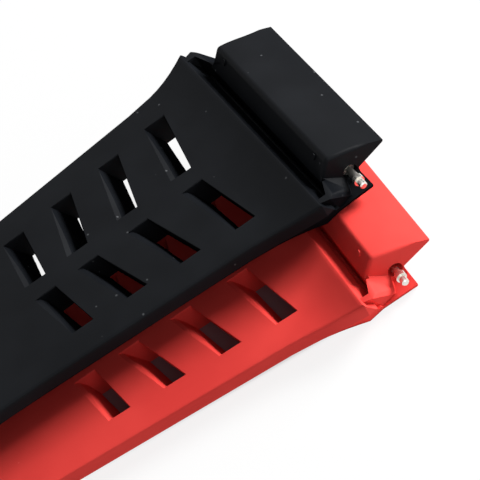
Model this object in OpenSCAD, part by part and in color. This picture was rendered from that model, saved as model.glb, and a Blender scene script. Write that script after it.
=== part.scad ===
// Two-piece silicone watch strap with spring bars, tang buckle and keepers.
// The hole half lies on the ground and the buckle half lies across it, case ends together.
// Each half is drawn in its own frame: x towards the case end with 0 at the ridge,
// y across, z up from the wrist side. The row frame is the frame of the hole half.

/* [Strap body] */
// Thickness of a half at its case end
strap_t = 3.4; // [3.2:0.1:4]
// Thickness of a half towards its tail
tail_t = 3; // [2.8:0.1:3.2]
// Width across the shoulders at the ridge
shoulder_w = 29.2; // [28.6:0.1:29.6]
// Width of the taper carried on to the ridge, without the flare
taper_w = 26.6; // [25.6:0.1:27]
// Width of the parallel tail
tail_w = 20; // [19:0.5:21]
// Length over which the shoulders flare out
flare_l = 8; // [6:0.5:10]
// Height by which the outer face sweeps up to the ridge
lip_h = 0.8; // [0.5:0.05:0.9]
// Length over which the outer face sweeps up
sweep_l = 5; // [3:0.5:5]
// Length from the ridge to the parallel tail
taper_l = 42; // [38:1:44]
// Height of the upright side wall, measured down from the outer face
wall_h = 1.5; // [1.2:0.1:1.8]
// How far the wrist side is drawn in from each edge
belly_in = 1.8; // [1.2:0.1:2.2]
// Rounding along the outer edges
edge_r = 0.35; // [0.2:0.05:0.5]
// Length of the hole half from its ridge to its tip
hole_half_l = 112; // [108:1:125]
// Length of the rounded tip of the hole half
tip_l = 9; // [7:0.5:10]
// Distance from the ridge of the buckle half to its buckle bar
buckle_half_l = 72; // [68:1:80]

/* [Vents] */
// Number of vents in each row
vent_n = 4; // [2:1:4]
// Distance from the ridge to the outer end of the first vent
vent_first = 5.25; // [5:0.05:6]
// Pitch of the vents along the strap
vent_pitch = 6.07; // [5.8:0.01:6.4]
// Width of a vent along the strap
vent_w = 2.4; // [2:0.1:2.8]
// Width of the rib between the two rows
rib_w = 2.3; // [2:0.1:3]
// Margin left between a vent and the strap's edge
vent_margin = 3.5; // [3.2:0.1:4.2]
// How far the centre end of each vent lies behind its outer end
vent_lead = [1.45, 1.9, 1.85, 0.85]; // [0.5:0.05:2]
// Width of the scooped ramp at the centre end of a vent
scoop_w = 1.05; // [0.6:0.05:1.3]
// Depth of the scooped ramp at the centre end of a vent
scoop_d = 1.2; // [0.6:0.1:1.6]
// How far the head wall of each vent slants back under the outer face
vent_slant = 0.9; // [0.7:0.05:1]
// How far the foot of each vent's tail wall lies behind its outer end
foot_out = [1.05, 0.9, 0.75, 0.5]; // [0.3:0.05:1.1]
// How far the foot of each vent's tail wall lies behind its centre end
foot_in = [0.4, 0.45, 0.15, 0.7]; // [0.1:0.05:0.7]

/* [Case end] */
// Length of the bevel along the ridge
bevel_l = 1.1; // [0.9:0.05:1.2]
// Depth of the bevel below the outer face
bevel_d = 1; // [0.7:0.05:1.2]
// Depth of the groove behind the lug block
groove_d = 1.75; // [1.5:0.05:2]
// Distance from the ridge to the rear face of the lug block, in the groove
block_x = 1.65; // [1.6:0.05:1.8]
// Distance from the ridge to the top edge of the block's rear slope
rear_x = 3.1; // [2.9:0.05:3.3]
// Width of the lug block, which fits between the lugs of the watch
block_w = 22.2; // [21.8:0.1:22.4]
// Height of the lug block above the outer face
block_h = 1.95; // [1.7:0.05:2.2]
// Reach of the block's nose beyond the ridge
nose_x = 8.95; // [8.5:0.05:9.5]
// Depth of the nose's edge below the outer face
nose_d = 0.3; // [0.1:0.05:0.5]
// Depth of the root of the nose's underside below the outer face
root_d = 1.45; // [1.3:0.05:1.7]
// Swell of the block's sloping top above a straight line
top_bow = 0.2; // [0.1:0.05:0.3]
// Reach of the wing plates beyond the ridge
wing_x = 5.7; // [5.6:0.05:6]
// Depth of the wing plates below the outer face
wing_d = 2.55; // [2.5:0.05:2.7]
// Width of the wing plates' outline at the height of the side wall
wing_w = 28.5; // [28:0.1:28.6]
// Width of the gusset between the lug block and a wing plate
gusset_w = 1.4; // [1:0.1:1.5]
// Distance from the shoulders' outer corners in to the ends of the groove
groove_in = 1.3; // [1:0.1:1.6]
// Radius of the small round mould marks on the block's rear slope
mark_r = 0.33; // [0.25:0.01:0.4]
// Height of the mould marks
mark_h = 0.15; // [0.1:0.01:0.2]
// Distance of the mould marks from the ends of the block
mark_in = 2; // [1.5:0.1:2.5]

/* [Spring bars] */
// Distance from the ridge to the case bar's axis
bar_x = 4.7; // [4.5:0.05:4.8]
// Depth of the case bar's axis below the outer face
bar_d = 1.25; // [1.15:0.05:1.3]
// Radius of a spring bar's tube
tube_r = 0.75; // [0.7:0.01:0.78]
// Radial clearance of a spring bar in its silicone bore
bore_gap = 0.05; // [0.03:0.01:0.08]
// Wall of a spring bar's tube
tube_wall = 0.2; // [0.15:0.01:0.22]
// Radius of a spring bar's tips
pin_r = 0.38; // [0.34:0.01:0.4]
// Radial clearance of the sliding tips
pin_gap = 0.05; // [0.03:0.01:0.06]
// Length of the rolled lip at each end of a tube
lip_l = 0.3; // [0.2:0.05:0.4]
// Length of a tip's head inside the tube
head_l = 1.5; // [1:0.1:2]
// How far a sprung tip can be pressed in
tip_travel = 1.1; // [0.9:0.05:1.3]
// Radius of the collar on a case bar's tip
collar_r = 0.55; // [0.5:0.01:0.6]
// Thickness of the collar
collar_l = 0.55; // [0.5:0.05:0.7]
// Length of a case bar's tip beyond its collar
pin_l = 0.9; // [0.8:0.05:1.2]
// How far each case bar's tube stops short of the block's ends when it is centred
tube_short = 1.4; // [1:0.05:1.6]
// Play between the parts inside a spring bar
inner_gap = 0.02; // [0.01:0.01:0.05]
// How far the buckle half's case bar has slid towards the near side
buckle_half_bar_shift = 0.9; // [0:0.05:0.9]
// How far the hole half's case bar has slid towards the near side
hole_half_bar_shift = 0.45; // [0:0.05:0.9]

/* [Adjustment holes] */
// Number of adjustment holes
hole_n = 9; // [5:1:9]
// Distance from the ridge to the first adjustment hole
hole_first = 50; // [49:0.5:52]
// Pitch of the adjustment holes
hole_pitch = 6.5; // [6:0.1:6.6]
// Radius of an adjustment hole
hole_r = 1.3; // [1.2:0.05:1.5]

/* [Buckle] */
// Radius of the bead that holds the buckle bar
bead_r = 1.8; // [1.7:0.05:2]
// Gap between the strap's tail and the buckle frame, on each side
frame_gap = 0.3; // [0.2:0.05:0.5]
// Width of each arm of the buckle frame
arm_w = 1.9; // [1.7:0.1:2.4]
// Thickness of the buckle frame
frame_t = 2.2; // [2:0.1:2.4]
// Distance from the buckle bar to the middle of the frame's cross bar
frame_l = 9.5; // [9:0.5:11]
// Width of the frame's cross bar
cross_w = 2.4; // [2:0.1:3]
// Rounding of the frame's outer corners
frame_r = 2.2; // [1.8:0.1:2.4]
// Depth of the blind hole for a bar tip in each arm
socket_d = 1; // [0.8:0.05:1.2]
// Width of the buckle tongue
tongue_w = 2; // [1.8:0.1:2.2]
// Thickness of the buckle tongue
tongue_t = 1; // [0.8:0.05:1.2]
// Outer radius of the tongue's eye
eye_r = 1.5; // [1.4:0.05:1.6]
// How far the tongue reaches past the outer edge of the cross bar
tongue_over = 0.8; // [0.4:0.1:1.2]
// Side clearance of the tongue in the strap's notch
notch_gap = 0.5; // [0.3:0.05:0.8]
// How far the strap's notch reaches past the tongue's eye, so that the tongue can fold over
notch_reach = 2; // [1.8:0.1:2.4]
// Depth of the groove in the cross bar that the tongue rests in
seat_d = 0.3; // [0.2:0.05:0.4]

/* [Keepers] */
// Length of a keeper along the strap
keeper_l = 5.5; // [4.5:0.5:7]
// Wall of a keeper at its sides and top
keeper_wall = 1.2; // [1:0.1:1.6]
// Wall of a keeper on the wrist side
keeper_floor = 1.7; // [1.4:0.05:1.8]
// Clearance between a keeper and the strap
keeper_gap = 0.25; // [0.15:0.05:0.3]
// Room left in a keeper above two layers of strap
keeper_room = 0.4; // [0.2:0.1:0.8]
// Distance from the buckle bar to the middle of the fixed keeper
fixed_keeper_x = 9; // [8:0.5:11]
// Distance from the buckle bar to the middle of the free keeper
free_keeper_x = 22; // [19:0.5:24]

/* [Lie of the halves] */
// Shift of the buckle half towards the case end
over_x = 1.2; // [0.5:0.1:3]
// Shift of the buckle half across the hole half
over_y = 8.6; // [8:0.1:9.4]
// Turn of the buckle half on the hole half
over_turn = 3.5; // [0:0.5:4]
// Gap left where the buckle half rests on the lug block
rest_gap = 0.05; // [0.03:0.01:0.1]

/* [Hidden] */

$fn = 48;
eps = 0.01;          // overlap of solids that are joined, and overshoot of cuts
past = 1;            // how far a cutting tool stands past the faces it cuts
taper_bow = 1.15;    // 1 would taper in a straight line
thin_from = 32;      // the strap thins between these two distances from the ridge
thin_to = 48;
step_l = 3;          // spacing of the sections along the body
ridge_s = -0.05;     // section just in front of the ridge
sweep_steps = 5;
scoop_steps = 6;
scoop_start = 0.04;  // height and width of the ramp's start at the outer end
mark_u = 0.7;        // place of the mould marks up the rear slope
foot_step = 0.1;     // how far the foot of the lug block stands back from the wings' front
arc_steps = 6;
neck_room = 0.6;     // bare stem that stays in sight when a tip is pressed in

bore_r = tube_r + bore_gap;
tube_in_r = tube_r - tube_wall;
lip_r = pin_r + pin_gap;
plunger_r = tube_in_r - pin_gap;
bar_z = strap_t - bar_d;
case_tube_l = block_w - 2 * tube_short;
neck_l = tip_travel + neck_room;
frame_in = tail_w + 2 * frame_gap;
buckle_tube_l = tail_w - 2 * frame_gap;
buckle_stem_l = (frame_in - buckle_tube_l) / 2 + socket_d - 0.1;
over_z = strap_t + block_h + rest_gap;
frame_back = frame_l + cross_w / 2;
// The buckle droops about its bar until the frame's far lower edge meets the hole half
drop = over_z + bead_r - tail_t - rest_gap;
droop = asin(drop / norm([frame_back, frame_t / 2])) - atan2(frame_t / 2, frame_back);

red = [0.88, 0.25, 0.22];
black = [0.13, 0.14, 0.15];
steel = [0.78, 0.78, 0.8];

// Half the strap's width at distance s behind the ridge, before the ends are rounded
function half_w(s) = s < ridge_s ? wing_w / 2
    : tail_w / 2
    + (taper_w - tail_w) / 2 * pow(max(0, 1 - max(s, 0) / taper_l), taper_bow)
    + (shoulder_w - taper_w) / 2 * pow(max(0, 1 - max(s, 0) / flare_l), 2);

// Thickness at distance s behind the ridge
function thick(s) = strap_t
    + lip_h * pow(max(0, 1 - max(s, 0) / sweep_l), 2)
    - (strap_t - tail_t) * min(1, max(0, (s - thin_from) / (thin_to - thin_from)));

// One side of a cross section, from the middle of the outer face down to the wrist side
function side_points(w, t) = [
    [w - edge_r, t],
    [w - 0.3 * edge_r, t - 0.3 * edge_r],
    [w, t - edge_r],
    [w, t - wall_h],
    [w - belly_in, 0]];

// Closed cross section at s, narrowed by the factor k where a tip is rounded
function section(s, k) = let (half = side_points(half_w(s), thick(s)), n = len(half))
    [for (i = [0 : 2 * n - 1]) i < n
        ? [-s, k * half[i][0], half[i][1]]
        : [-s, -k * half[2 * n - 1 - i][0], half[2 * n - 1 - i][1]]];

// Faces between rings i and i + 1 of n points each, as quads or split into triangles
function band(i, n, split) = [for (j = [0 : n - 1])
    let (a = i * n + j, b = i * n + n + j, c = i * n + n + (j + 1) % n, d = i * n + (j + 1) % n)
        each (split ? [[a, b, c], [a, c, d]] : [[a, b, c, d]])];

// Solid through a list of rings, each of whose points can be seen from its first
module loft(rings, split = false) {
    n = len(rings[0]);
    m = len(rings);
    polyhedron(
        points = [for (ring = rings) each ring],
        faces = concat(
            [[for (j = [0 : n - 1]) j]],
            [for (i = [0 : m - 2]) each band(i, n, split)],
            [[for (j = [0 : n - 1]) (m - 1) * n + (n - j) % n]]),
        convexity = 6);
}

// Distances of the sections from the front of the wings to distance s_end
function stations(s_end) = let (n = ceil((s_end - sweep_l) / step_l))
    concat(
        [-wing_x, -block_x - 0.1, ridge_s],
        [for (i = [1 : sweep_steps]) sweep_l * i / sweep_steps],
        [for (i = [1 : n]) sweep_l + (s_end - sweep_l) * i / n]);

// Outline of the lug block in x and z: rear face and slope, bowed top, nose and its underside
function block_outline() = let (
        top_z = strap_t + block_h,
        nose_z = strap_t - nose_d,
        foot_x = wing_x - foot_step,
        low_z = strap_t - wing_d - eps,
        soft = 0.3)
    concat(
        [[block_x, low_z], [block_x, strap_t],
         [rear_x - 0.7 * soft, top_z - soft], [rear_x, top_z - 0.3 * soft]],
        [for (i = [0 : arc_steps]) let (u = i / arc_steps, x0 = rear_x + 0.7 * soft)
            [x0 + (nose_x - x0) * u, top_z + (nose_z - top_z) * u + 4 * top_bow * u * (1 - u)]],
        [[nose_x - 0.1, nose_z - 0.2], [foot_x, strap_t - root_d], [foot_x, low_z]]);

// Prism with its outline in x and z, centred across the strap
module across(w, outline) {
    rotate([90, 0, 0])
        linear_extrude(height = w, center = true)
            polygon(outline);
}

// What is cut from the body in front of the ridge: bevel, groove and the room above the wings
module case_end_cut() {
    groove_z = strap_t - groove_d;
    wing_z = strap_t - wing_d;
    ridge_z = strap_t + lip_h;
    across(shoulder_w + 2 * past, [
        [0, ridge_z], [bevel_l, strap_t - bevel_d], [bevel_l + 0.05, groove_z],
        [block_x - 0.1, groove_z], [block_x + 0.1, wing_z], [wing_x + past, wing_z],
        [wing_x + past, ridge_z + past], [0, ridge_z + past]]);
}

// Web from the end of the lug block out to the ridge, which closes the groove and falls to the front
module gusset() {
    y0 = block_w / 2 - eps;
    y1 = block_w / 2 + gusset_w;
    y2 = shoulder_w / 2 - groove_in;
    y3 = shoulder_w / 2 - 0.7;
    z0 = strap_t - wing_d - eps;
    // The corners in x and y, the lean of the outer side towards the wrist, and the height of the top
    corners = [
        [block_x + 0.25, y0, 0, strap_t + 0.45],
        [bar_x - 0.7, y0, 0, strap_t - root_d],
        [bar_x - 1.2, y1, 0, strap_t - bar_d - 0.5],
        [block_x - 0.15, y3, 1, strap_t + lip_h - 0.3],
        [0.15, y3, 1, strap_t + lip_h - 0.25],
        [0.15, y2, 0.8, strap_t + lip_h - 0.25],
        [bevel_l, y2, 0.8, strap_t + lip_h - 0.3]];
    n = len(corners);
    top = [[0, 6, 3], [0, 3, 2], [0, 2, 1], [6, 5, 4], [6, 4, 3]];
    polyhedron(
        points = concat([for (c = corners) [c[0], c[1] - c[2], z0]], [for (c = corners) [c[0], c[1], c[3]]]),
        faces = concat(
            [for (t = top) [t[2], t[1], t[0]]],
            [for (j = [0 : n - 1]) let (k = (j + 1) % n) each [[j, j + n, k + n], [j, k + n, k]]],
            [for (t = top) [t[0] + n, t[1] + n, t[2] + n]]));
}

// Ring round vent i on the far side, from its outer end (u = 0) to its centre end (u = 1)
function vent_ring(i, u) = let (
        s = vent_first + i * vent_pitch,
        y_in = rib_w / 2,
        y_out = half_w(s) - vent_margin,
        y = y_out + (y_in - y_out) * u,
        head_x = -s - vent_lead[i] * u,
        tail_x = head_x - vent_w,
        foot_x = head_x - foot_out[i] + (foot_out[i] - foot_in[i]) * u,
        slant = vent_slant / strap_t,
        drop = max(scoop_start, sin(90 * u)),
        ramp_x = tail_x + scoop_w * drop,
        ramp_z = strap_t - scoop_d * drop,
        lead_x = tail_x + 0.5 * scoop_w * drop,
        lead_z = strap_t - 0.25 * scoop_d * drop)
    [[head_x - slant * past, y, strap_t + past], [tail_x, y, strap_t + past], [tail_x, y, strap_t + eps],
     [lead_x, y, lead_z], [ramp_x, y, ramp_z],
     [foot_x + (foot_x - ramp_x) * past / ramp_z, y, -past],
     [head_x + slant * (strap_t + past), y, -past]];

// What both halves share: body sections, case end, vents and the case bar's bore
module half_body(rings) {
    difference() {
        union() {
            difference() {
                loft(rings);
                case_end_cut();
            }
            across(block_w, block_outline());
            for (side = [0, 1])
                mirror([0, side, 0]) {
                    gusset();
                    translate([
                        block_x + mark_u * (rear_x - block_x), block_w / 2 - mark_in,
                        strap_t + mark_u * block_h])
                        rotate([0, -atan2(block_h, rear_x - block_x), 0])
                            translate([0, 0, -mark_h])
                                cylinder(r = mark_r, h = 2 * mark_h);
                }
        }
        for (side = [0, 1])
            mirror([0, side, 0])
                for (i = [0 : vent_n - 1])
                    loft([for (k = [0 : scoop_steps]) vent_ring(i, k / scoop_steps)], split = true);
        translate([bar_x, 0, bar_z])
            rotate([90, 0, 0])
                cylinder(r = bore_r, h = block_w + 2 * gusset_w + past, center = true);
    }
}

// Half that lies on the ground, with the adjustment holes
module hole_half() {
    straight_l = hole_half_l - tip_l;
    tip_steps = 7;
    tip_turn = 84;
    rings = concat(
        [for (s = stations(straight_l)) section(s, 1)],
        [for (i = [1 : tip_steps]) let (a = tip_turn * i / tip_steps)
            section(straight_l + tip_l * sin(a) / sin(tip_turn), cos(a))]);
    color(red)
        difference() {
            half_body(rings);
            for (i = [0 : hole_n - 1])
                translate([-hole_first - i * hole_pitch, 0, -past])
                    cylinder(r = hole_r, h = strap_t + 2 * past);
        }
}

// Half that lies on top, with the bead for the buckle bar
module buckle_half() {
    rings = [for (s = stations(buckle_half_l)) section(s, 1)];
    notch_w = tongue_w + 2 * notch_gap;
    notch_l = eye_r + notch_reach;
    color(black)
        difference() {
            union() {
                half_body(rings);
                at_buckle_bar()
                    rotate([90, 0, 0])
                        cylinder(r = bead_r, h = tail_w, center = true);
            }
            at_buckle_bar() {
                rotate([90, 0, 0])
                    cylinder(r = bore_r, h = tail_w + 2 * past, center = true);
                translate([-bead_r - past, -notch_w / 2, -bead_r - past])
                    cube([bead_r + past + notch_l, notch_w, 2 * bead_r + 2 * past]);
            }
        }
}

// Places what belongs to the buckle half
module over() {
    translate([over_x, over_y, over_z])
        rotate([0, 0, over_turn])
            children();
}

// Middle of the case bar, slid towards the near side
module at_case_bar(shift) {
    translate([bar_x, -shift, bar_z])
        children();
}

// Middle of the buckle bar
module at_buckle_bar() {
    translate([-buckle_half_l, 0, bead_r])
        children();
}

// Turns a part that points up so that it points to the near or the far side
module aim(side) {
    rotate([side == "near" ? 90 : -90, 0, 0])
        children();
}

// Tube of a spring bar, rolled in at both ends
module bar_tube(l) {
    h = l / 2;
    color(steel)
        rotate([90, 0, 0])
            rotate_extrude()
                polygon([
                    [lip_r, -h], [tube_r - 0.1, -h], [tube_r, -h + 0.1],
                    [tube_r, h - 0.1], [tube_r - 0.1, h], [lip_r, h],
                    [lip_r, h - lip_l], [tube_in_r, h - lip_l],
                    [tube_in_r, -h + lip_l], [lip_r, -h + lip_l]]);
}

// Sprung tip with its head inside a tube of length l, pointing up
module bar_tip(l, stem_l, with_collar) {
    h = l / 2;
    head_top = h - lip_l - inner_gap;
    collar_z = h + neck_l;
    end_z = with_collar ? collar_z + collar_l + pin_l : h + stem_l;
    soft = 0.12;
    color(steel)
        rotate_extrude()
            polygon(concat(
                [[0, head_top - head_l], [plunger_r, head_top - head_l],
                 [plunger_r, head_top], [pin_r, head_top]],
                with_collar ? [[pin_r, collar_z], [collar_r, collar_z],
                    [collar_r, collar_z + collar_l], [pin_r, collar_z + collar_l]] : [],
                [[pin_r, end_z - soft], [pin_r - soft, end_z], [0, end_z]]));
}

// Envelope of the coil spring between the two heads
module bar_spring(l) {
    h = l / 2 - lip_l - 2 * inner_gap - head_l;
    wire = 0.16;
    color(steel)
        rotate([90, 0, 0])
            difference() {
                cylinder(r = plunger_r, h = 2 * h, center = true);
                cylinder(r = plunger_r - wire, h = 2 * h + 2 * past, center = true);
            }
}

// Rectangle with round corners, built from plain outlines
module soft_rectangle(l, w, r) {
    square([l - 2 * r, w], center = true);
    square([l, w - 2 * r], center = true);
    for (x = [-1, 1], y = [-1, 1])
        translate([x * (l / 2 - r), y * (w / 2 - r)])
            circle(r = r);
}

// Places what hangs on the buckle bar, drooped until it meets the strap below
module buckle_place() {
    over()
        at_buckle_bar()
            rotate([0, -droop, 0])
                children();
}

// Frame of the tang buckle
module buckle_frame() {
    frame_w = frame_in + 2 * arm_w;
    lug_r = frame_t / 2 + 0.2;
    seat_w = tongue_w + 0.3;
    color(steel)
        buckle_place()
            difference() {
                union() {
                    intersection() {
                        translate([0, 0, -frame_t / 2])
                            linear_extrude(height = frame_t)
                                difference() {
                                    soft_rectangle(2 * frame_back, frame_w, frame_r);
                                    square([2 * frame_l - cross_w, frame_in], center = true);
                                }
                        translate([-frame_back - past, -frame_w, -frame_t])
                            cube([frame_back + past, 2 * frame_w, 2 * frame_t]);
                    }
                    for (side = [-1, 1])
                        translate([0, side * (frame_in + arm_w) / 2, 0])
                            rotate([90, 0, 0])
                                cylinder(r = lug_r, h = arm_w, center = true);
                }
                for (side = [-1, 1])
                    translate([0, side * (frame_in / 2 + socket_d / 2 - past / 2), 0])
                        rotate([90, 0, 0])
                            cylinder(r = lip_r, h = socket_d + past, center = true);
                translate([-frame_back - past, -seat_w / 2, frame_t / 2 - seat_d])
                    cube([cross_w + 2 * past, seat_w, past]);
            }
}

// Tongue, with its eye round the buckle bar and its point on the cross bar
module buckle_tongue() {
    seat_z = frame_t / 2 - seat_d + rest_gap;
    tip_x = -frame_back - tongue_over;
    color(steel)
        buckle_place()
            difference() {
                union() {
                    across(tongue_w, [
                        [-0.2, eye_r - tongue_t], [-3, seat_z], [tip_x + 0.4, seat_z],
                        [tip_x, seat_z + 0.3 * tongue_t], [tip_x + 0.3, seat_z + 0.8 * tongue_t],
                        [tip_x + 1, seat_z + tongue_t], [-3, seat_z + tongue_t], [-0.2, eye_r]]);
                    rotate([90, 0, 0])
                        cylinder(r = eye_r, h = tongue_w, center = true);
                }
                rotate([90, 0, 0])
                    cylinder(r = bore_r, h = tongue_w + 2 * past, center = true);
            }
}

// Loop round two layers of strap, centred at distance x from the buckle bar
module keeper(x) {
    in_w = tail_w + 2 * keeper_gap;
    in_h = 2 * tail_t + keeper_gap + keeper_room;
    out_w = in_w + 2 * keeper_wall;
    out_h = in_h + keeper_wall + keeper_floor;
    color(black)
        over()
            translate([x - buckle_half_l, 0, -keeper_gap - keeper_floor])
                rotate([90, 0, 90])
                    linear_extrude(height = keeper_l, center = true)
                        difference() {
                            translate([0, out_h / 2])
                                soft_rectangle(out_w, out_h, 1.2);
                            translate([0, keeper_floor + in_h / 2])
                                soft_rectangle(in_w, in_h, 0.4);
                        }
}

hole_half();
at_case_bar(hole_half_bar_shift) bar_tube(case_tube_l);  // hole_half_bar_tube
at_case_bar(hole_half_bar_shift) aim("near") bar_tip(case_tube_l, 0, true);  // hole_half_bar_tip_near
at_case_bar(hole_half_bar_shift) aim("far") bar_tip(case_tube_l, 0, true);  // hole_half_bar_tip_far
at_case_bar(hole_half_bar_shift) bar_spring(case_tube_l);  // hole_half_bar_spring
over() buckle_half();
over() at_case_bar(buckle_half_bar_shift) bar_tube(case_tube_l);  // buckle_half_bar_tube
over() at_case_bar(buckle_half_bar_shift) aim("near") bar_tip(case_tube_l, 0, true);  // buckle_half_bar_tip_near
over() at_case_bar(buckle_half_bar_shift) aim("far") bar_tip(case_tube_l, 0, true);  // buckle_half_bar_tip_far
over() at_case_bar(buckle_half_bar_shift) bar_spring(case_tube_l);  // buckle_half_bar_spring
over() at_buckle_bar() bar_tube(buckle_tube_l);  // buckle_bar_tube
over() at_buckle_bar() aim("near") bar_tip(buckle_tube_l, buckle_stem_l, false);  // buckle_bar_tip_near
over() at_buckle_bar() aim("far") bar_tip(buckle_tube_l, buckle_stem_l, false);  // buckle_bar_tip_far
over() at_buckle_bar() bar_spring(buckle_tube_l);  // buckle_bar_spring
buckle_frame();
buckle_tongue();
keeper(fixed_keeper_x);  // fixed_keeper
keeper(free_keeper_x);  // free_keeper
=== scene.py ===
import math

import bmesh
import bpy
from mathutils import Matrix, Vector


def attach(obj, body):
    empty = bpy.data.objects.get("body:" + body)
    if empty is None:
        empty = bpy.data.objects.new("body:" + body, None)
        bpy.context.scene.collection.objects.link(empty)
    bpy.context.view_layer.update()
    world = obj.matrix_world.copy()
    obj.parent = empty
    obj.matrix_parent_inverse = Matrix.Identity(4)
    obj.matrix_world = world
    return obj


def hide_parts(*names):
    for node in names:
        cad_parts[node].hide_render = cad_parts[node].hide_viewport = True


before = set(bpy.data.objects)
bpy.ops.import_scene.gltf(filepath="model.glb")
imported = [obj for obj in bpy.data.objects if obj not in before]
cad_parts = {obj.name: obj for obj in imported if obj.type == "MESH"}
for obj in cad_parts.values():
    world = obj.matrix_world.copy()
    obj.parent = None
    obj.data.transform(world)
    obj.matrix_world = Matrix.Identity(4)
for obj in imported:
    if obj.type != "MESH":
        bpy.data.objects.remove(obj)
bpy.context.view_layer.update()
scene = bpy.context.scene
print("frame loaded:", len(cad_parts), "nodes")


class Wire:
    # a socket's value: sums and products of wires and numbers add Math nodes

    def __init__(self, tree, socket):
        self.tree = tree
        self.socket = socket

    def math(self, operation, other=None, swap=False):
        node = self.tree.nodes.new("ShaderNodeMath")
        node.operation = operation
        pair = [self] if other is None else ([other, self] if swap else [self, other])
        for i, value in enumerate(pair):
            if isinstance(value, Wire):
                self.tree.links.new(value.socket, node.inputs[i])
            else:
                node.inputs[i].default_value = value
        return Wire(self.tree, node.outputs[0])

    def __add__(self, other):
        return self.math("ADD", other)

    def __mul__(self, other):
        return self.math("MULTIPLY", other)

    def __sub__(self, other):
        return self.math("SUBTRACT", other)

    def __rsub__(self, other):
        return self.math("SUBTRACT", other, swap=True)

    def __truediv__(self, other):
        return self.math("DIVIDE", other)

    __radd__ = __add__
    __rmul__ = __mul__

    def ramp(self, low, high):
        # 0 below low, 1 above high, eased between the two
        t = ((self - low) / (high - low)).math("MAXIMUM", 0.0).math("MINIMUM", 1.0)
        return t * t * (3.0 - 2.0 * t)


class Graph:
    # the node tree of one material

    def __init__(self, name):
        self.material = bpy.data.materials.new(name)
        self.material.use_nodes = True
        self.tree = self.material.node_tree
        self.tree.nodes.clear()

    def add(self, kind, settings=None, output=0, **sockets):
        # settings first, then the values or links of the sockets
        node = self.tree.nodes.new("ShaderNode" + kind)
        for key, value in (settings or {}).items():
            setattr(node, key, value)
        for key, value in sockets.items():
            self.put(self.findSocket(node, key), value)
        return Wire(self.tree, node.outputs[output])

    def place(self):
        # Object coordinates
        return self.add("TexCoord", output=3)

    def put(self, socket, value):
        if isinstance(value, Wire):
            self.tree.links.new(value.socket, socket)
        else:
            socket.default_value = value

    def findSocket(self, node, key):
        wanted = key.replace("_", " ").lower()
        for socket in node.inputs:
            if socket.enabled and socket.name.lower() == wanted:
                return socket
        raise KeyError(f"{node.bl_idname} has no socket {key}")

    def mixColour(self, factor, a, b):
        node = self.tree.nodes.new("ShaderNodeMix")
        node.data_type = "RGBA"
        for index, value in ((0, factor), (6, a), (7, b)):  # a Mix node's sockets for colours
            self.put(node.inputs[index], value)
        return Wire(self.tree, node.outputs[2])

    def mixShader(self, factor, a, b):
        node = self.tree.nodes.new("ShaderNodeMixShader")
        for index, value in enumerate((factor, a, b)):
            self.put(node.inputs[index], value)
        return Wire(self.tree, node.outputs[0])

    def parts(self, vector):
        node = self.tree.nodes.new("ShaderNodeSeparateXYZ")
        self.put(node.inputs[0], vector)
        return [Wire(self.tree, output) for output in node.outputs]

    def finish(self, shader):
        out = self.tree.nodes.new("ShaderNodeOutputMaterial")
        self.tree.links.new(shader.socket, out.inputs["Surface"])
        return self.material


def colour(rgb):
    return (*rgb, 1.0)


# silicone: matte, with a slow drift in tone, a fine moulded grain and rare specks of dust
siliconeSurface = dict(
    roughness=0.50,
    roughnessSwing=0.12,  # from the smoothest places of the drift to the roughest
    dustRoughness=0.2,  # added on a speck
    driftScale=160.0,
    driftEnds=(0.3, 0.7),  # where the drift reaches the shade and the base
    speckCell=0.0011,  # spacing of the places where a speck may lie
    grainSize=0.00009,
    grainHeight=0.0000045,
    waveScale=420.0,
    waveHeight=0.0000135,
)
redSilicone = dict(
    siliconeSurface,
    name="redSilicone",
    base=(0.705, 0.054, 0.046),
    shade=(0.645, 0.045, 0.039),
    dust=(0.86, 0.25, 0.21),
    dustAmount=0.3,
    specular=0.04,
    dullFrom=(0.40, 0.75),  # the powdery surface loses its sheen where it is seen aslant
    speckSize=0.00011,
    speckShare=0.06,
)
blackSilicone = dict(
    siliconeSurface,
    name="blackSilicone",
    base=(0.0066, 0.0074, 0.0090),
    shade=(0.0044, 0.0050, 0.0062),
    dust=(0.10, 0.105, 0.11),
    dustAmount=0.6,
    specular=0.06,
    dullFrom=(0.34, 0.60),
    speckSize=0.00015,
    speckShare=0.12,
)


def siliconeMaterial(v):
    g = Graph(v["name"])
    place = g.place()
    drift = g.add("TexNoise", vector=place, scale=v["driftScale"], detail=2.0)
    tone = g.mixColour(drift.ramp(*v["driftEnds"]), colour(v["shade"]), colour(v["base"]))
    cells = 1.0 / v["speckCell"]
    away = g.add("TexVoronoi", vector=place, scale=cells) * v["speckCell"]  # distance to the nearest speck
    lot = g.parts(g.add("TexVoronoi", output=1, vector=place, scale=cells))[0]  # a random number per speck
    speck = 1.0 - away.ramp(0.5 * v["speckSize"], v["speckSize"])
    dust = speck * lot.math("LESS_THAN", v["speckShare"])
    tone = g.mixColour(dust * v["dustAmount"], tone, colour(v["dust"]))
    grain = g.add("TexNoise", vector=place, scale=1.0 / v["grainSize"], detail=1.0)
    wave = g.add("TexNoise", vector=place, scale=v["waveScale"], detail=2.0)
    height = grain * v["grainHeight"] + wave * v["waveHeight"]
    smoothest = v["roughness"] - v["roughnessSwing"] / 2
    look = dict(
        base_color=tone,
        roughness=drift * v["roughnessSwing"] + smoothest + dust * v["dustRoughness"],
        normal=g.add("Bump", height=height, strength=1.0, distance=1.0),
    )
    sheen = g.add("BsdfPrincipled", specular_ior_level=v["specular"], **look)
    dull = g.add("BsdfPrincipled", specular_ior_level=0.0, **look)
    aslant = g.add("LayerWeight", output=1, blend=0.5)  # 0 face on, 1 edge on
    return g.finish(g.mixShader(aslant.ramp(*v["dullFrom"]), sheen, dull))


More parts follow.
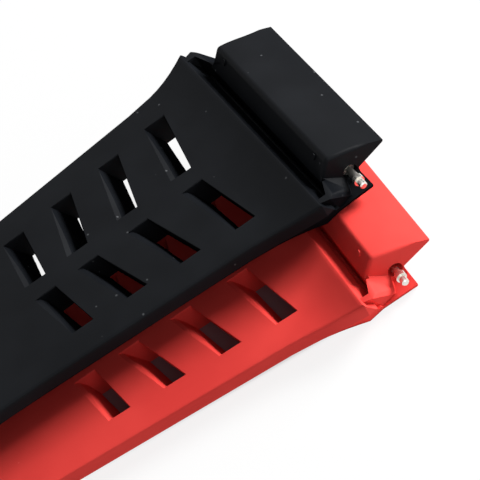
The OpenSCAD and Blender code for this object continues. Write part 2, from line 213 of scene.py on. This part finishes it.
# steel: fine tool marks are noise squeezed across the marks and drawn out along them
steelSurface = dict(
    markShade=0.86,  # how dark the base is in a mark
    cloudScale=500.0,
    roughnessSwing=0.14,
)
turnedSteel = dict(
    steelSurface,
    name="turnedSteel",
    base=(0.82, 0.79, 0.73),
    roughness=0.26,
    markSize=0.00006,
    markHeight=0.0000016,
    squeeze=(0.05, 1.0, 0.05),
)
brushedSteel = dict(
    steelSurface,
    name="brushedSteel",
    base=(0.44, 0.44, 0.45),
    roughness=0.34,
    markSize=0.00008,
    markHeight=0.0000020,
    squeeze=(0.03, 1.0, 1.0),
)
springSteel = dict(
    steelSurface,
    name="springSteel",
    base=(0.42, 0.42, 0.43),
    roughness=0.38,
    markSize=0.0001,
    markHeight=0.0000015,
    squeeze=(1.0, 1.0, 1.0),
)


def steelMaterial(v):
    g = Graph(v["name"])
    place = g.place()
    along = g.add("Mapping", vector=place, scale=tuple(s / v["markSize"] for s in v["squeeze"]))
    marks = g.add("TexNoise", vector=along, scale=1.0, detail=2.0)
    cloud = g.add("TexNoise", vector=place, scale=v["cloudScale"], detail=2.0)
    inMark = [value * v["markShade"] for value in v["base"]]
    smoothest = v["roughness"] - v["roughnessSwing"] / 2
    shader = g.add(
        "BsdfPrincipled",
        base_color=g.mixColour(marks, colour(inMark), colour(v["base"])),
        metallic=1.0,
        roughness=cloud * v["roughnessSwing"] + smoothest,
        normal=g.add("Bump", height=marks * v["markHeight"], strength=1.0, distance=1.0),
    )
    return g.finish(shader)


red = siliconeMaterial(redSilicone)
black = siliconeMaterial(blackSilicone)
turned = steelMaterial(turnedSteel)
brushed = steelMaterial(brushedSteel)
spring = steelMaterial(springSteel)
print("materials made")

# where the mouldings are rounded, in metres and degrees. A box lies in the half's own frame: x, the distance
# from the middle line on either side, and z. The edges wholly in it are rounded from the least angle up, as
# far as the reach, and less far where edges lie close if the rounding is clamped
blockTop = dict(
    box=((0.0016, 0.0078), (0.0, 0.0112), (0.0036, 0.0056)),
    reach=0.00042,
    leastAngle=24,
    clamped=False,
)
ridge = dict(
    box=((-0.0010, 0.0002), (0.0, 0.0144), (0.0040, 0.0044)),
    reach=0.00042,
    leastAngle=24,
    clamped=False,
)
ventRims = dict(
    box=((-0.0300, -0.0040), (0.0, 0.0120), (0.0030, 0.0036)),
    reach=0.00012,
    leastAngle=50,
    clamped=False,
)
gussets = dict(
    box=((0.0012, 0.0036), (0.01105, 0.0142), (0.0016, 0.0040)),
    reach=0.00035,
    leastAngle=40,
    clamped=False,
)
keeperCorners = dict(
    box=((-0.2, 0.2), (0.0, 0.2), (-0.2, 0.2)),
    reach=0.0003,
    leastAngle=24,
    clamped=True,
)

# the case end, which both halves share
caseEnd = dict(
    roundings=(blockTop, ridge, ventRims, gussets),
    cornerFrom=((0.00280, 0.00335), (0.0110, 0.0112), (0.0050, 0.0056)),  # box of the block's chamfered ends
    cornerTo=(0.00313, 0.00537),  # x and z of the one edge that they become
    tipFrom=((0.00185, 0.00200), (0.01105, 0.01115), (0.0037, 0.0039)),  # box where gusset and block meet
    tipGap=0.00016,  # points nearer to each other than this become one there
)
redHalf = dict(
    caseEnd,
    name="redHalf",
    node="hole_half",
    body="hole_half",
    slot="red_silicone",
    material=red,
    lie=((0.0, 0.0, 0.0), 0.0),  # the half's shift and turn in the frame
)
blackHalf = dict(
    caseEnd,
    name="blackHalf",
    node="buckle_half",
    body="buckle_half",
    slot="black_silicone",
    material=black,
    lie=((0.0012, 0.0086, 0.0054), 3.5),
)
keeper = dict(
    slot="black_silicone",
    material=black,
    lie=((0.0, 0.0, 0.0), 0.0),
    roundings=(keeperCorners,),
)
fixedLoop = dict(keeper, name="fixedLoop", node="fixed_keeper", body="buckle_half")
freeLoop = dict(keeper, name="freeLoop", node="free_keeper", body="free_keeper")

mergeGap = 1e-6  # points this close are one
sliver = 0.00004  # edges shorter than this are drawn together at the vents and behind them
sliverX = -0.003  # the x that they lie behind
splitGap = 2e-6  # edges shorter than this go before the faces are split into triangles
lastGap = 1e-7  # and those shorter than this after it
shortest = 0.0006  # sharp edges shorter than this are left as they are
flatAngle = math.radians(0.6)
edgeAngle = math.radians(24.0)
roundSegments = 4
flatWeight = 80  # large faces stay flat up to their rounded edges
rearSlope = ((0.0016, 0.0031), (-0.0001, 0.0111), (0.0034, 0.0054))  # its box, with the middle line in it


def inBox(point, box):
    x, y, z = point
    return all(low < value < high for (low, high), value in zip(box, (x, abs(y), z)))


def squareCorner(work, v, home):
    # the block's narrow chamfer is drawn together to one edge, so that it can be rounded wider
    x, z = v["cornerTo"]
    for vert in work.verts:
        if inBox(home @ vert.co, v["cornerFrom"]):
            vert.co = home.inverted() @ Vector((x, (home @ vert.co).y, z))
    tips = [vert for vert in work.verts if inBox(home @ vert.co, v["tipFrom"])]
    bmesh.ops.remove_doubles(work, verts=tips, dist=v["tipGap"])


def onRearSlope(edge, home):
    return inBox(home @ ((edge.verts[0].co + edge.verts[1].co) / 2), rearSlope)


def joinFlats(work, home):
    # coplanar triangles become whole faces, but the rear slope keeps its own round the two mould marks
    vents = [edge for edge in work.edges if (home @ edge.verts[0].co).x < sliverX]
    bmesh.ops.dissolve_degenerate(work, dist=sliver, edges=vents)
    bmesh.ops.dissolve_degenerate(work, dist=mergeGap, edges=work.edges)
    whole = [edge for edge in work.edges if not onRearSlope(edge, home)]
    bmesh.ops.dissolve_limit(work, angle_limit=flatAngle, verts=work.verts, edges=whole)


def isSharp(edge):
    return len(edge.link_faces) == 2 and edge.calc_face_angle() > edgeAngle


def canBeRounded(edge, leastAngle):
    # long enough, and pointing outwards by more than the least angle
    if len(edge.link_faces) != 2 or edge.calc_length() <= shortest:
        return False
    return edge.calc_face_angle_signed() > math.radians(leastAngle)


def roundEdges(work, v, home):
    outward = [edge for edge in work.edges if canBeRounded(edge, v["leastAngle"])]
    edges = [edge for edge in outward if all(inBox(home @ vert.co, v["box"]) for vert in edge.verts)]
    bmesh.ops.bevel(
        work,
        geom=edges,
        offset=v["reach"],
        offset_type="OFFSET",
        affect="EDGES",
        segments=roundSegments,
        profile=0.5,
        clamp_overlap=v["clamped"],
    )
    print(len(edges), "edges rounded")


def splitFaces(work):
    # into triangles, none of them without an area, so that the skin stays closed when it is exported
    bmesh.ops.dissolve_degenerate(work, dist=splitGap, edges=work.edges)
    bmesh.ops.triangulate(work, faces=work.faces[:], ngon_method="BEAUTY")
    bmesh.ops.dissolve_degenerate(work, dist=lastGap, edges=work.edges)


def roundedMesh(v):
    # a copy of the solid with its moulded edges rounded
    shift, turn = v["lie"]
    home = (Matrix.Translation(shift) @ Matrix.Rotation(math.radians(turn), 4, "Z")).inverted()
    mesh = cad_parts[v["node"]].data.copy()
    mesh.name = v["name"]
    work = bmesh.new()
    work.from_mesh(mesh)
    bmesh.ops.remove_doubles(work, verts=work.verts, dist=mergeGap)
    if "cornerFrom" in v:
        squareCorner(work, v, home)
    joinFlats(work, home)
    for rounding in v["roundings"]:
        roundEdges(work, rounding, home)
    splitFaces(work)
    for face in work.faces:
        face.smooth = True
    for edge in work.edges:
        edge.smooth = not isSharp(edge)
    work.to_mesh(mesh)
    work.free()
    mesh.materials.clear()
    mesh.materials.append(v["material"])
    return mesh


def mouldedPiece(v):
    piece = bpy.data.objects.new(v["name"], roundedMesh(v))
    scene.collection.objects.link(piece)
    normals = piece.modifiers.new("normals", "WEIGHTED_NORMAL")
    normals.mode = "FACE_AREA"
    normals.weight = flatWeight
    normals.keep_sharp = True
    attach(piece, v["body"])
    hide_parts(v["node"])


for values in (redHalf, blackHalf, fixedLoop, freeLoop):
    mouldedPiece(values)
print("silicone pieces made")


def dressNode(node, material):
    # a steel solid keeps its shape and takes a material
    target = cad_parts[node]
    target.data.materials.clear()
    target.data.materials.append(material)


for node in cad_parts:
    if node.endswith("_spring"):
        dressNode(node, spring)
    elif "_bar_" in node:
        dressNode(node, turned)
dressNode("buckle_frame", brushed)
dressNode("buckle_tongue", brushed)
print("steel pieces dressed")

# the floor looks white where it is seen directly, apart from the place that the red half covers, which shows
# through its vents:
# there its glow is off and it takes a painted shade, a darker colour that stands in for the shade under the
# half
floorValues = dict(
    size=3.0,
    gap=0.00002,  # keeps it clear of the flat underside
    tone=(0.88, 0.88, 0.88),
    ownGlow=0.86,
    # painted shade: the darker colour that the floor takes under the red half
    paintedShadeTone=(0.26, 0.18, 0.20),
    hiddenX=(-0.100, 0.003),  # from the tail to the case end
    hiddenY=(0.0082, 0.0122),  # half its width at the tail and at the ridge
    taper=0.042,  # how far behind the ridge it reaches the tail's width
    fade=0.0015,
)


def seenAsBackground(rays):
    # 1 for rays from the camera and for what metal mirrors or glass lets through, 0 for rays that carry light
    outputs = rays.socket.node.outputs
    camera, glossy, through = (
        Wire(rays.tree, outputs[name]) for name in ("Is Camera Ray", "Is Glossy Ray", "Is Transmission Ray")
    )
    return camera.math("MAXIMUM", glossy).math("MAXIMUM", through)


def makeFloor(v):
    half = v["size"] / 2
    level = -v["gap"]
    corners = [(-half, -half, level), (half, -half, level), (half, half, level), (-half, half, level)]
    mesh = bpy.data.meshes.new("floor")
    mesh.from_pydata(corners, [], [(0, 1, 2, 3)])
    g = Graph("floorWhite")
    x, y = g.parts(g.place())[:2]
    low, high = v["hiddenX"]
    fade = v["fade"]
    shadeMask = x.ramp(low - fade, low) * (1.0 - x.ramp(high, high + fade))
    narrow, wide = v["hiddenY"]
    reach = (x / v["taper"] + 1.0).math("MAXIMUM", 0.0) * (wide - narrow) + narrow
    shadeMask = shadeMask * (1.0 - (y.math("ABSOLUTE") - reach).ramp(-fade, 0.0))
    # painted shade: under the red half the floor's colour is mixed over to the darker tone
    lit = g.add("BsdfDiffuse", color=g.mixColour(shadeMask, colour(v["tone"]), colour(v["paintedShadeTone"])))
    glow = g.add("Emission", color=(1, 1, 1, 1), strength=1.0)
    rays = g.add("LightPath")
    shown = seenAsBackground(rays) * v["ownGlow"] * (1.0 - shadeMask)
    mesh.materials.append(g.finish(g.mixShader(shown, lit, glow)))
    floor = bpy.data.objects.new("floor", mesh)
    scene.collection.objects.link(floor)


roomLevel = 0.17


def makeWorld(level):
    # soft light of the given level, and plain white where it is seen
    world = bpy.data.worlds.new("room")
    scene.world = world
    world.use_nodes = True
    tree = world.node_tree
    tree.nodes.clear()
    rays = Wire(tree, tree.nodes.new("ShaderNodeLightPath").outputs[0])
    strength = seenAsBackground(rays) * (1.0 - level) + level
    backdrop = tree.nodes.new("ShaderNodeBackground")
    backdrop.inputs["Color"].default_value = (1, 1, 1, 1)
    tree.links.new(strength.socket, backdrop.inputs["Strength"])
    out = tree.nodes.new("ShaderNodeOutputWorld")
    tree.links.new(backdrop.outputs[0], out.inputs["Surface"])


# soft boxes: where they hang, what they face, their size in metres and their power
keyLamp = dict(name="keyLamp", place=(0.52, 0.05, 0.23), target=(-0.01, 0.0, 0.0), size=0.26, power=8.2)
fillLamp = dict(name="fillLamp", place=(0.05, -0.50, 0.30), target=(-0.02, 0.0, 0.0), size=0.4, power=0.6)


def makeLamp(v):
    data = bpy.data.lights.new(v["name"], "AREA")
    data.shape = "SQUARE"
    data.size = v["size"]
    data.energy = v["power"]
    lamp = bpy.data.objects.new(v["name"], data)
    scene.collection.objects.link(lamp)
    lamp.location = v["place"]
    lamp.rotation_mode = "QUATERNION"
    lamp.rotation_quaternion = (Vector(v["target"]) - Vector(v["place"])).to_track_quat("-Z", "Y")


# the photograph's view: angles in degrees, focal length in pixels of its 480-pixel frame
shot = dict(
    azimuth=-4.37,
    elevation=44.98,
    roll=-30.66,
    distance=0.300,
    target=(-0.00591, -0.00243, 0.0084),
    focalPixels=3150.7,
    imagePixels=480.0,
    sensor=36.0,
    nearest=0.01,
    farthest=10.0,
)


def makeCamera(v):
    a, e, r = (math.radians(v[key]) for key in ("azimuth", "elevation", "roll"))
    back = Vector((math.sin(a) * math.cos(e), -math.cos(a) * math.cos(e), math.sin(e)))
    level = Vector((math.cos(a), math.sin(a), 0))
    rise = back.cross(level)
    right = level * math.cos(r) + rise * math.sin(r)
    up = rise * math.cos(r) - level * math.sin(r)
    data = bpy.data.cameras.new("camera")
    data.sensor_width = v["sensor"]
    data.lens = v["focalPixels"] / v["imagePixels"] * v["sensor"]
    data.clip_start = v["nearest"]
    data.clip_end = v["farthest"]
    camera = bpy.data.objects.new("camera", data)
    scene.collection.objects.link(camera)
    turn = Matrix((right, up, back)).transposed()
    camera.matrix_world = Matrix.Translation(Vector(v["target"]) + back * v["distance"]) @ turn.to_4x4()
    scene.camera = camera


makeFloor(floorValues)
makeWorld(roomLevel)
makeLamp(keyLamp)
makeLamp(fillLamp)
makeCamera(shot)
scene.view_settings.view_transform = "Standard"
print("floor, light and camera placed")
